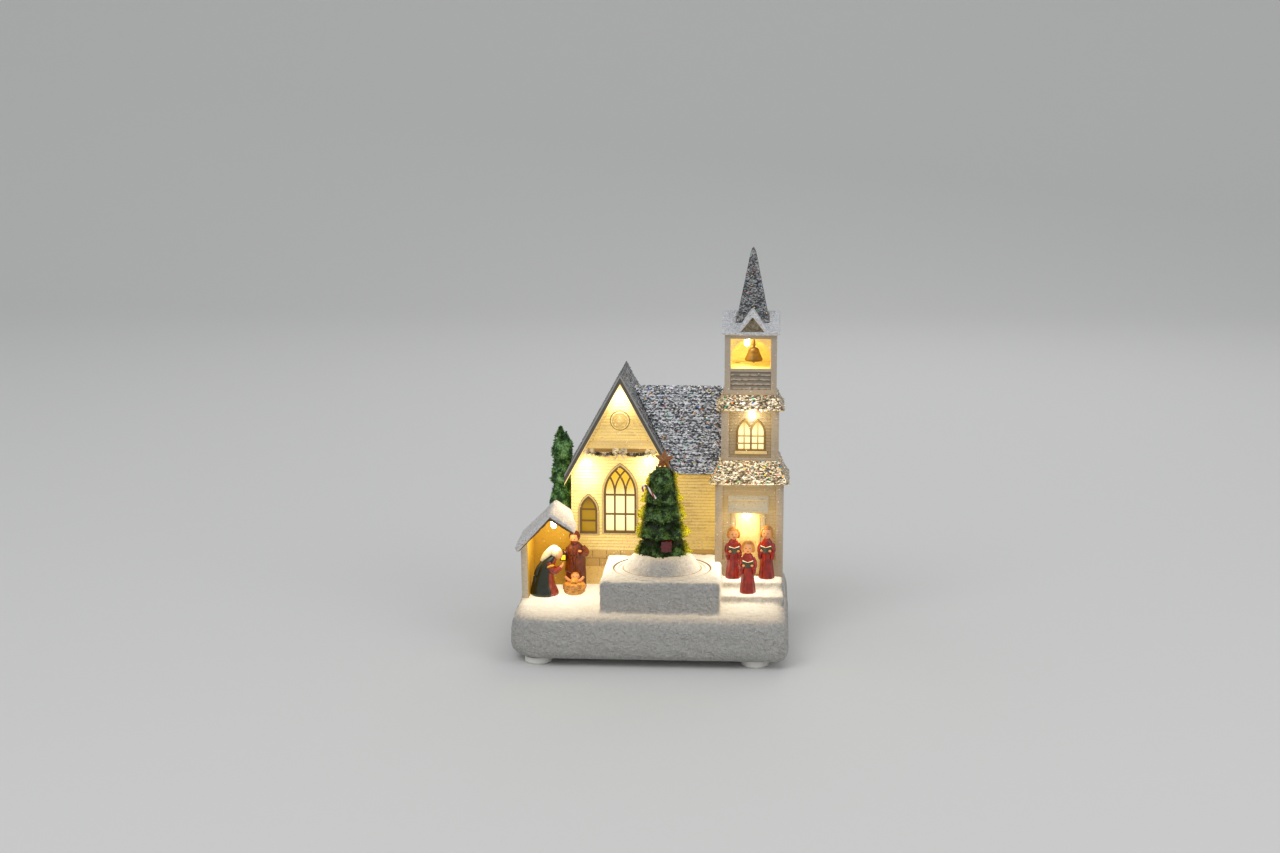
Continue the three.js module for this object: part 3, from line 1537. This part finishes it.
// Belfry roof: a snowy gable across, with a small gable facing the front
const towerEaveHalf = bellHalf + TOWER_EAVE_REACH;
const roofFoot = BELFRY_TOP + GAP;
const roofFrontY = TOWER_Y - bellHalf - 3.2;
const roofBackY = TOWER_Y + bellHalf + 3.2;
const roofRidge = roofFoot + TOWER_RIDGE_RISE;
const FASCIA = 1.4;
const dormerHalf = 10.8;
const dormerRise = 16.4;
const spireX = TOWER_X + SPIRE_SHIFT;
const roofBlock = spanning(
  outline([
    [roofFrontY + 0.5, roofFoot],
    [roofBackY - 0.5, roofFoot],
    [roofBackY, roofFoot + FASCIA],
    [TOWER_Y + 1.4, roofRidge - 0.3],
    [TOWER_Y, roofRidge],
    [TOWER_Y - 1.4, roofRidge - 0.3],
    [roofFrontY, roofFoot + FASCIA],
  ]),
  TOWER_X - towerEaveHalf,
  TOWER_X + towerEaveHalf,
);
const dormer = cut(
  running(
    outline([
      [spireX - dormerHalf, roofFoot],
      [spireX + dormerHalf, roofFoot],
      [spireX + dormerHalf, roofFoot + FASCIA],
      [spireX + 0.8, roofFoot + dormerRise],
      [spireX - 0.8, roofFoot + dormerRise],
      [spireX - dormerHalf, roofFoot + FASCIA],
    ]),
    roofFrontY - 0.8,
    TOWER_Y,
  ),
  running(
    outline([
      [spireX - 0.71 * dormerHalf, roofFoot + 2.2],
      [spireX + 0.71 * dormerHalf, roofFoot + 2.2],
      [spireX, roofFoot + 0.72 * dormerRise],
    ]),
    roofFrontY - 3,
    roofFrontY + 0.9,
  ),
);

// Spire: a slim pyramid with a slight flare at its foot and a rounded tip
const spireFoot = roofFoot + 4.4;
const spireTip = roofFoot + SPIRE_H + 5;
const spireRing = (half, z) => [
  V(spireX - half, TOWER_Y - half, z),
  V(spireX + half, TOWER_Y - half, z),
  V(spireX + half, TOWER_Y + half, z),
  V(spireX - half, TOWER_Y + half, z),
];
const spireRings = (grow) => [
  spireRing(SPIRE_HALF + grow, spireFoot - grow),
  spireRing(0.88 * SPIRE_HALF + grow, spireFoot + 6),
  spireRing(0.11 * SPIRE_HALF + 0.5 + grow, spireTip - 3.4),
  spireRing(0.75 + grow, spireTip - 0.9),
  spireRing(0.3 + grow, spireTip + grow),
];
const spire = loft(spireRings(0));
const belfryRoof = cut(joined(roofBlock, dormer), loft(spireRings(GAP)));

// Stable: side and back walls under a snow roof with a long left slope
const stableBack = WING_FRONT - PLINTH_OUT - GAP;
const roofLeftX = -BASE_W / 2 + 0.2;
const eaveLeftX = roofLeftX + 2.8;
const eaveLeftZ = STABLE_EAVE_LEFT - STABLE_ROOF_T;
const ridgeUnder = STABLE_RIDGE - 1.15 * STABLE_ROOF_T;
const eaveRightZ = STABLE_EAVE_RIGHT - STABLE_ROOF_T;
const roofRightX = STABLE_RIGHT - 0.6;

// Underside of the stable roof at x, which the walls and the lamp keep clear of.
function stableUnder(x) {
  const [farX, farZ] = x < STABLE_RIDGE_X ? [eaveLeftX, eaveLeftZ] : [roofRightX, eaveRightZ];
  return ridgeUnder + ((x - STABLE_RIDGE_X) / (farX - STABLE_RIDGE_X)) * (farZ - ridgeUnder);
}
const stableBackRight = WING_LEFT + 1.2;
const stableTop = (x) => stableUnder(x) - 1.2 * GAP;
const stableWalls = joined(
  running(
    outline([
      [STABLE_LEFT + 0.6, WALL_FOOT],
      [STABLE_LEFT + 0.6 + STABLE_WALL, WALL_FOOT],
      [STABLE_LEFT + STABLE_WALL, stableTop(STABLE_LEFT + STABLE_WALL)],
      [STABLE_LEFT, stableTop(STABLE_LEFT)],
    ]),
    STABLE_FRONT,
    stableBack,
  ),
  running(
    outline([
      [STABLE_LEFT + 1, WALL_FOOT],
      [stableBackRight, WALL_FOOT],
      [stableBackRight, stableTop(stableBackRight)],
      [STABLE_RIDGE_X, stableTop(STABLE_RIDGE_X)],
      [STABLE_LEFT + 1, stableTop(STABLE_LEFT + 1)],
    ]),
    stableBack - 3,
    stableBack,
  ),
);
const stableRoof = cut(
  running(
    outline([
      [roofLeftX + 0.9, eaveLeftZ],
      [eaveLeftX, eaveLeftZ],
      [STABLE_RIDGE_X, ridgeUnder],
      [roofRightX, eaveRightZ],
      [STABLE_RIGHT, eaveRightZ + 0.8],
      [STABLE_RIGHT - 0.5, STABLE_EAVE_RIGHT],
      [STABLE_RIDGE_X + 2, STABLE_RIDGE - 0.7],
      [STABLE_RIDGE_X, STABLE_RIDGE],
      [STABLE_RIDGE_X - 1.8, STABLE_RIDGE - 0.7],
      [roofLeftX + 1.4, STABLE_EAVE_LEFT + 1],
      [roofLeftX, STABLE_EAVE_LEFT - 1],
    ]),
    STABLE_FRONT - STABLE_ROOF_OUT,
    WING_FRONT - LAP_DEPTH - GAP,
  ),
  standing(
    outline([
      [STABLE_RIGHT + 4, STABLE_FRONT + 12],
      [STABLE_RIGHT + 4, WING_FRONT + 4],
      [WING_LEFT - 1.2, WING_FRONT + 4],
      [STABLE_RIGHT + 0.4, STABLE_FRONT + 12],
    ]),
    60,
    100,
  ),
);

// Evergreen behind the stable, cast with a flat side against the wing
const rearTree = cut(
  evergreen(REAR_TREE_X, REAR_TREE_Y, WALL_FOOT, REAR_TREE_H, REAR_TREE_R, 0.3, 6, 10, 1.4, 0.07),
  block(WING_LEFT - GAP - LAP_DEPTH, WING_LEFT + 40, 0, 70, 0, 240),
  running(
    outline([
      [WING_X - wingRoofHalf - GAP, WING_EAVE - 4],
      [WING_X - wingRoofHalf - GAP, WING_EAVE + 0.8],
      [WING_X, WING_RIDGE + 1],
      [WING_X, WING_EAVE - 4],
    ]),
    -10,
    90,
  ),
);

// Figures are cast pieces: a pleated robe, arms, a head with its hair, and what each one holds
function pleated(cx, cy, rings, pleats) {
  const sides = 2 * pleats;
  return loft(
    rings.map(([z, rx, ry, depth = 0, shiftX = 0, shiftY = 0]) =>
      Array.from({ length: sides }, (_, k) => {
        const angle = (k / sides) * 2 * Math.PI;
        const fold = 1 + depth * Math.cos(pleats * angle);
        return V(cx + shiftX + rx * fold * Math.cos(angle), cy + shiftY + ry * fold * Math.sin(angle), z);
      }),
    ),
  );
}

// Singer of the choir, drawn 35 high: where it stands, its height and how far the body turns
function singer(x, y, z0, height, turn) {
  const h = height / 35;
  const aim = (dx, dy) => [
    x + h * (dx * Math.cos(turn) - dy * Math.sin(turn)),
    y + h * (dx * Math.sin(turn) + dy * Math.cos(turn)),
  ];
  const at = (dx, dy, dz) => V(...aim(dx, dy), z0 + h * dz);
  const body = pleated(
    x,
    y,
    [
      [z0, 5 * h, 4.4 * h, 0.06],
      [z0 + 9 * h, 4.1 * h, 3.5 * h, 0.06],
      [z0 + 17 * h, 3.4 * h, 2.8 * h, 0.03],
      [z0 + 22 * h, 4 * h, 2.9 * h, 0],
      [z0 + 24.6 * h, 3.2 * h, 2.4 * h, 0],
      [z0 + 26.4 * h, 1.5 * h, 1.5 * h, 0],
    ],
    7,
  );
  const arms = [-1, 1].flatMap((side) => [
    limb(at(3.6 * side, 0, 22.6), 1.5 * h, at(4.2 * side, -1.2, 17.8), 1.5 * h),
    limb(at(4.2 * side, -1.2, 17.8), 1.5 * h, at(2.2 * side, -4, 19.8), 1 * h),
  ]);
  const leaf = (side, inset, from, to) =>
    solid(
      new ConvexGeometry(
        [from, to].flatMap((out) => [
          at(-0.4 * side, -3.5 + out, 16.8 + inset + 0.8 * out),
          at(-0.4 * side, -5.5 + out, 20.8 - inset + 0.8 * out),
          at(side * (3.9 - inset), -2.9 + out, 17.6 + inset + 0.8 * out),
          at(side * (3.9 - inset), -4.9 + out, 21.6 - inset + 0.8 * out),
        ]),
      ),
    );
  const book = [-1, 1].flatMap((side) => [leaf(side, 0, 0, 0.5), leaf(side, 0.35, 0.4, 1)]);
  const [hx, hy] = aim(0, -0.3);
  const [bx, by] = aim(0, 0.5);
  return joined(
    body,
    ...arms,
    ...book,
    ball(hx, hy, z0 + 29.8 * h, 3.7 * h, 3.6 * h, 4.1 * h, 8),
    ball(bx, by, z0 + 30.7 * h, 4.2 * h, 3.8 * h, 4.2 * h, 8),
  );
}

// Where each singer stands, as shares of the steps' width and of a tread, and how tall they are.
const stepSpan = stepRight - platformRight;
const CHOIR = [
  { name: "choir_left", across: 0.19, tread: 0.49, z: STEP_TOP, tall: 0.983, turn: 0.15 },
  { name: "choir_middle", across: 0.425, tread: 1.47, z: STEP_LOW, tall: 0.997, turn: 0 },
  { name: "choir_right", across: 0.72, tread: 0.43, z: STEP_TOP, tall: 1.006, turn: -0.15 },
];

// Kneeling woman in a long veil, leaning over the manger
const kneelX = STABLE_RIDGE_X - 4.8;
const kneelY = STABLE_FRONT + 10;
const kneeling = joined(
  pleated(
    kneelX,
    kneelY,
    [
      [WALL_FOOT, 8.2, 6.6, 0.03],
      [WALL_FOOT + 2.4, 8.6, 6.8, 0.04],
      [WALL_FOOT + 8, 6.8, 5.6, 0.04, -0.6],
      [WALL_FOOT + 14, 5.2, 4.6, 0.02, -0.3],
      [WALL_FOOT + 20, 4.8, 4.2, 0, 1.8],
      [WALL_FOOT + 24, 3.6, 3.4, 0, 4.2],
      [WALL_FOOT + 26.4, 1.8, 1.8, 0, 6],
    ],
    7,
  ),
  ball(kneelX + 8.2, kneelY, WALL_FOOT + 27.4, 3.4, 3.3, 3.7, 8),
  ball(kneelX + 6.8, kneelY, WALL_FOOT + 28.6, 4.4, 4, 4, 8),
  limb(V(kneelX + 3, kneelY, WALL_FOOT + 28.5), 3.4, V(kneelX - 3.4, kneelY, WALL_FOOT + 20.5), 3.2),
  limb(V(kneelX - 3.4, kneelY, WALL_FOOT + 20.5), 3.6, V(kneelX - 5.6, kneelY, WALL_FOOT + 4), 3.4),
  limb(
    V(kneelX + 2.6, kneelY - 3.2, WALL_FOOT + 21),
    1.9,
    V(kneelX + 6.4, kneelY - 3, WALL_FOOT + 15.4),
    1.7,
  ),
  limb(
    V(kneelX + 6.4, kneelY - 3, WALL_FOOT + 15.4),
    1.6,
    V(kneelX + 11.4, kneelY - 0.8, WALL_FOOT + 19.6),
    1.1,
  ),
);

// Standing man in a long cloak, with a lantern in one hand
const manX = STABLE_RIDGE_X + 13.4;
const manY = STABLE_FRONT + 29.6;
const lanternX = manX - 7.2;
const standingMan = joined(
  pleated(
    manX,
    manY,
    [
      [WALL_FOOT, 6.6, 4.8, 0.04],
      [WALL_FOOT + 1.5, 6.8, 5, 0.06],
      [WALL_FOOT + 12, 6.4, 4.6, 0.07],
      [WALL_FOOT + 20, 6, 4.2, 0.04],
      [WALL_FOOT + 26, 6, 3.8, 0],
      [WALL_FOOT + 29.4, 3.6, 2.8, 0],
      [WALL_FOOT + 30.6, 1.8, 1.8, 0],
    ],
    6,
  ),
  ball(manX - 0.8, manY - 0.6, WALL_FOOT + 33.6, 3.3, 3.2, 3.9, 8),
  ball(manX - 0.6, manY, WALL_FOOT + 34.6, 3.8, 3.6, 3.9, 8),
  ball(manX - 0.9, manY - 2, WALL_FOOT + 30.9, 2.3, 1.8, 2.6, 6),
  limb(V(manX - 5, manY, WALL_FOOT + 26), 2, V(manX - 6.2, manY - 2.2, WALL_FOOT + 21), 1.8),
  limb(V(manX - 6.2, manY - 2.2, WALL_FOOT + 21), 1.6, V(lanternX, manY - 4.6, WALL_FOOT + 24.4), 1.1),
  limb(V(manX + 5, manY, WALL_FOOT + 27), 2, V(manX + 7, manY - 1.6, WALL_FOOT + 25), 2),
  limb(V(manX + 7, manY - 1.6, WALL_FOOT + 25), 1.8, V(manX + 3.4, manY - 4.8, WALL_FOOT + 25.4), 1.2),
  turned(
    [
      [0, WALL_FOOT + 17.8],
      [1.9, WALL_FOOT + 17.8],
      [1.9, WALL_FOOT + 18.6],
      [1.5, WALL_FOOT + 19],
      [1.5, WALL_FOOT + 21.6],
      [1.9, WALL_FOOT + 22],
      [0.5, WALL_FOOT + 23.4],
      [0.5, WALL_FOOT + 24.6],
      [0, WALL_FOOT + 24.6],
    ],
    lanternX,
    manY - 4.8,
    8,
  ),
);

// Manger of straw with the child lying in it
const mangerX = STABLE_RIDGE_X + 14;
const mangerY = STABLE_FRONT + 13;
const manger = joined(
  pleated(
    mangerX,
    mangerY,
    [
      [WALL_FOOT, 5.2, 4.6, 0.04],
      [WALL_FOOT + 2, 6.4, 5.6, 0.05],
      [WALL_FOOT + 5.4, 7.4, 6.4, 0.06],
      [WALL_FOOT + 7.2, 6.6, 5.6, 0.05],
      [WALL_FOOT + 7.6, 4.6, 3.8, 0],
    ],
    8,
  ),
  ball(mangerX + 0.4, mangerY + 1.4, WALL_FOOT + 10.8, 2.9, 2.8, 3, 8),
  limb(
    V(mangerX + 0.2, mangerY + 0.6, WALL_FOOT + 8.6),
    2.4,
    V(mangerX, mangerY - 3.4, WALL_FOOT + 7),
    2,
  ),
  limb(
    V(mangerX - 1.8, mangerY, WALL_FOOT + 8),
    1.1,
    V(mangerX - 6, mangerY + 0.6, WALL_FOOT + 11.4),
    0.9,
  ),
  limb(
    V(mangerX + 1.8, mangerY, WALL_FOOT + 8),
    1.1,
    V(mangerX + 6.2, mangerY + 0.6, WALL_FOOT + 11.8),
    0.9,
  ),
);

// Lamps: a clear dome on a short collar, each pointing down or out from what holds it
function bulb(x, y, z, length = 4) {
  return turned(
    [
      [0, z - length],
      [0.6 * BULB_R, z - length + 0.3],
      [0.95 * BULB_R, z - length + 1.1],
      [BULB_R, z - length + 2],
      [BULB_R, z - 0.6],
      [BULB_R + 0.3, z - 0.6],
      [BULB_R + 0.3, z],
      [0, z],
    ],
    x,
    y,
    8,
  );
}
const bulbs = [
  ["led_stable", STABLE_RIDGE_X + 1.4, -20, stableUnder(STABLE_RIDGE_X + 1.4 + BULB_R + 0.3) - GAP, 5],
  ["led_door", doorX - 1, awningBack - 2.6, awningTop - AWNING_H - GAP, 4.4],
  ["led_tower", twinX + 0.6, midFace - LAP_DEPTH - BULB_R - 0.3 - GAP, MID_TOP - 1.4 - GAP, 4.4],
  ["led_belfry", TOWER_X - 2.6, belfryFront + 2 * belfryWall + BULB_R + 0.3 + GAP, BELFRY_TOP, 8.4],
];
const lampMeshes = bulbs.map(([name, x, y, z, length]) => piece(name, bulb(x, y, z, length), BULB));

// Gable lamps sit on short stubs in front of the wall, under the roof edge
function wallBulb(name, x, back, z) {
  const geometry = new THREE.LatheGeometry(
    [
      [0, 0],
      [BULB_R, 0],
      [BULB_R, 1],
      [0.9 * BULB_R, 1.9],
      [0.5 * BULB_R, 2.6],
      [0, 2.8],
    ].map(([r, l]) => new THREE.Vector2(r, l)),
    8,
  );
  return piece(name, solid(geometry.rotateZ(Math.PI).translate(x, back, z)), BULB);
}
const boardFace = WING_FRONT - LAP_DEPTH - GAP;
lampMeshes.push(wallBulb("led_gable", WING_X, WING_FRONT - TRIM_OUT - GAP, WING_RIDGE - 12.4));
lampMeshes.push(wallBulb("led_eave_left", bigX - garlandHalf - 1.4, boardFace, TRIM_Z - 10.6));
lampMeshes.push(wallBulb("led_eave_right", bigX + garlandHalf - 1.4, boardFace, TRIM_Z - 8));

// Hall lamp: stands on the ground slab behind the windows
const hallLamp = turned(
  [
    [0, WALL_FOOT],
    [5, WALL_FOOT],
    [5, WALL_FOOT + 1.5],
    [1.6, WALL_FOOT + 2.4],
    [1.6, WALL_FOOT + HALL_LAMP_H - 6.6],
    [2.6, WALL_FOOT + HALL_LAMP_H - 6],
    [2.5, WALL_FOOT + HALL_LAMP_H - 2.6],
    [1.4, WALL_FOOT + HALL_LAMP_H - 0.6],
    [0, WALL_FOOT + HALL_LAMP_H],
  ],
  bigX,
  WING_FRONT + 24,
  8,
);

const footSpots = [
  ["foot_front_left", -1, -1],
  ["foot_front_right", 1, -1],
  ["foot_rear_left", -1, 1],
  ["foot_rear_right", 1, 1],
];
const feet = footSpots.map(([name, sx, sy]) =>
  piece(
    name,
    turned(
      [
        [0, 0],
        [FOOT_R - 0.8, 0],
        [FOOT_R, 0.8],
        [FOOT_R, FOOT_H],
        [0, FOOT_H],
      ],
      sx * (BASE_W / 2 - FOOT_INSET_X) + FOOT_SHIFT,
      sy * (BASE_D / 2 - FOOT_INSET_Y),
      20,
    ),
    PLASTIC,
  ),
);

const base = new THREE.Group();
base.add(
  piece("snow_base", snowBase, SNOW),
  piece("base_cover", baseCover, PLASTIC),
  ...feet,
  piece("battery_door", batteryDoor, PLASTIC),
  ...cells,
  piece("contact_strip", contactStrip, STEEL),
  piece("switch_housing", switchCase, DARK_PLASTIC),
  piece("switch_slider", switchKnob, DARK_PLASTIC),
  piece("circuit_board", circuitBoard, BOARD),
  piece("gearbox_case", gearboxCase, PLASTIC),
  piece("motor_can", motorCan, STEEL),
);

const tree = new THREE.Group();
tree.add(
  piece("drive_spindle", driveSpindle, STEEL),
  piece("turntable_mound", turntable, SNOW),
  piece("tree_foliage", treeFoliage, FOLIAGE),
  piece("tree_star", treeStar, COPPER),
  piece("candy_cane", candyCane, CANDY),
  piece("gift_box", giftBox, GIFT),
);

const church = new THREE.Group();
church.add(
  piece("wing_walls", wingWalls, SIDING),
  piece("wing_roof", wingRoof, SHINGLE),
  piece("nave_walls", naveWalls, SIDING),
  piece("nave_roof", naveRoof, SHINGLE),
  piece("gable_garland", garland, GILT),
  piece("front_window_tracery", frontTracery, TRIM),
  piece("front_window_pane", frontPane, PANE),
  piece("side_window_tracery", sideTracery, TRIM),
  piece("side_window_pane", sidePane, PANE),
  piece("hall_lamp", hallLamp, BULB),
);

const tower = new THREE.Group();
tower.add(
  piece("tower_lower_tier", lowTier, TRIM),
  piece("tower_middle_tier", midTier, TRIM),
  piece("tower_belfry", belfry, TRIM),
  piece("lower_skirt_roof", lowSkirt, SHINGLE),
  piece("upper_skirt_roof", midSkirt, SHINGLE),
  piece("belfry_roof", belfryRoof, SNOW),
  piece("spire", spire, SHINGLE),
  piece("bell", bell, BRONZE),
  piece("church_door", churchDoor, SIDING),
  piece("door_awning", doorAwning, TRIM),
  piece("tower_window_frame", towerWindow, TRIM),
  piece("tower_window_pane", towerPane, PANE),
);

const scenes = new THREE.Group();
scenes.add(
  piece("stable_walls", stableWalls, SIDING),
  piece("stable_roof", stableRoof, SNOW),
  piece("figure_kneeling", kneeling, VEIL),
  piece("figure_standing", standingMan, CLOAK),
  piece("manger_with_child", manger, STRAW),
  ...CHOIR.map(({ name, across, tread, z, tall, turn }) => {
    const x = platformRight + across * stepSpan;
    const y = stepBack - tread * STEP_TREAD;
    return piece(name, singer(x, y, z + GAP, tall * SINGER_H, turn), ROBE);
  }),
  piece("rear_evergreen", rearTree, FOLIAGE),
);

const villageChurch = new THREE.Group();
villageChurch.name = "village_church";
villageChurch.add(base, tree, church, tower, scenes, ...lampMeshes);
export default villageChurch;
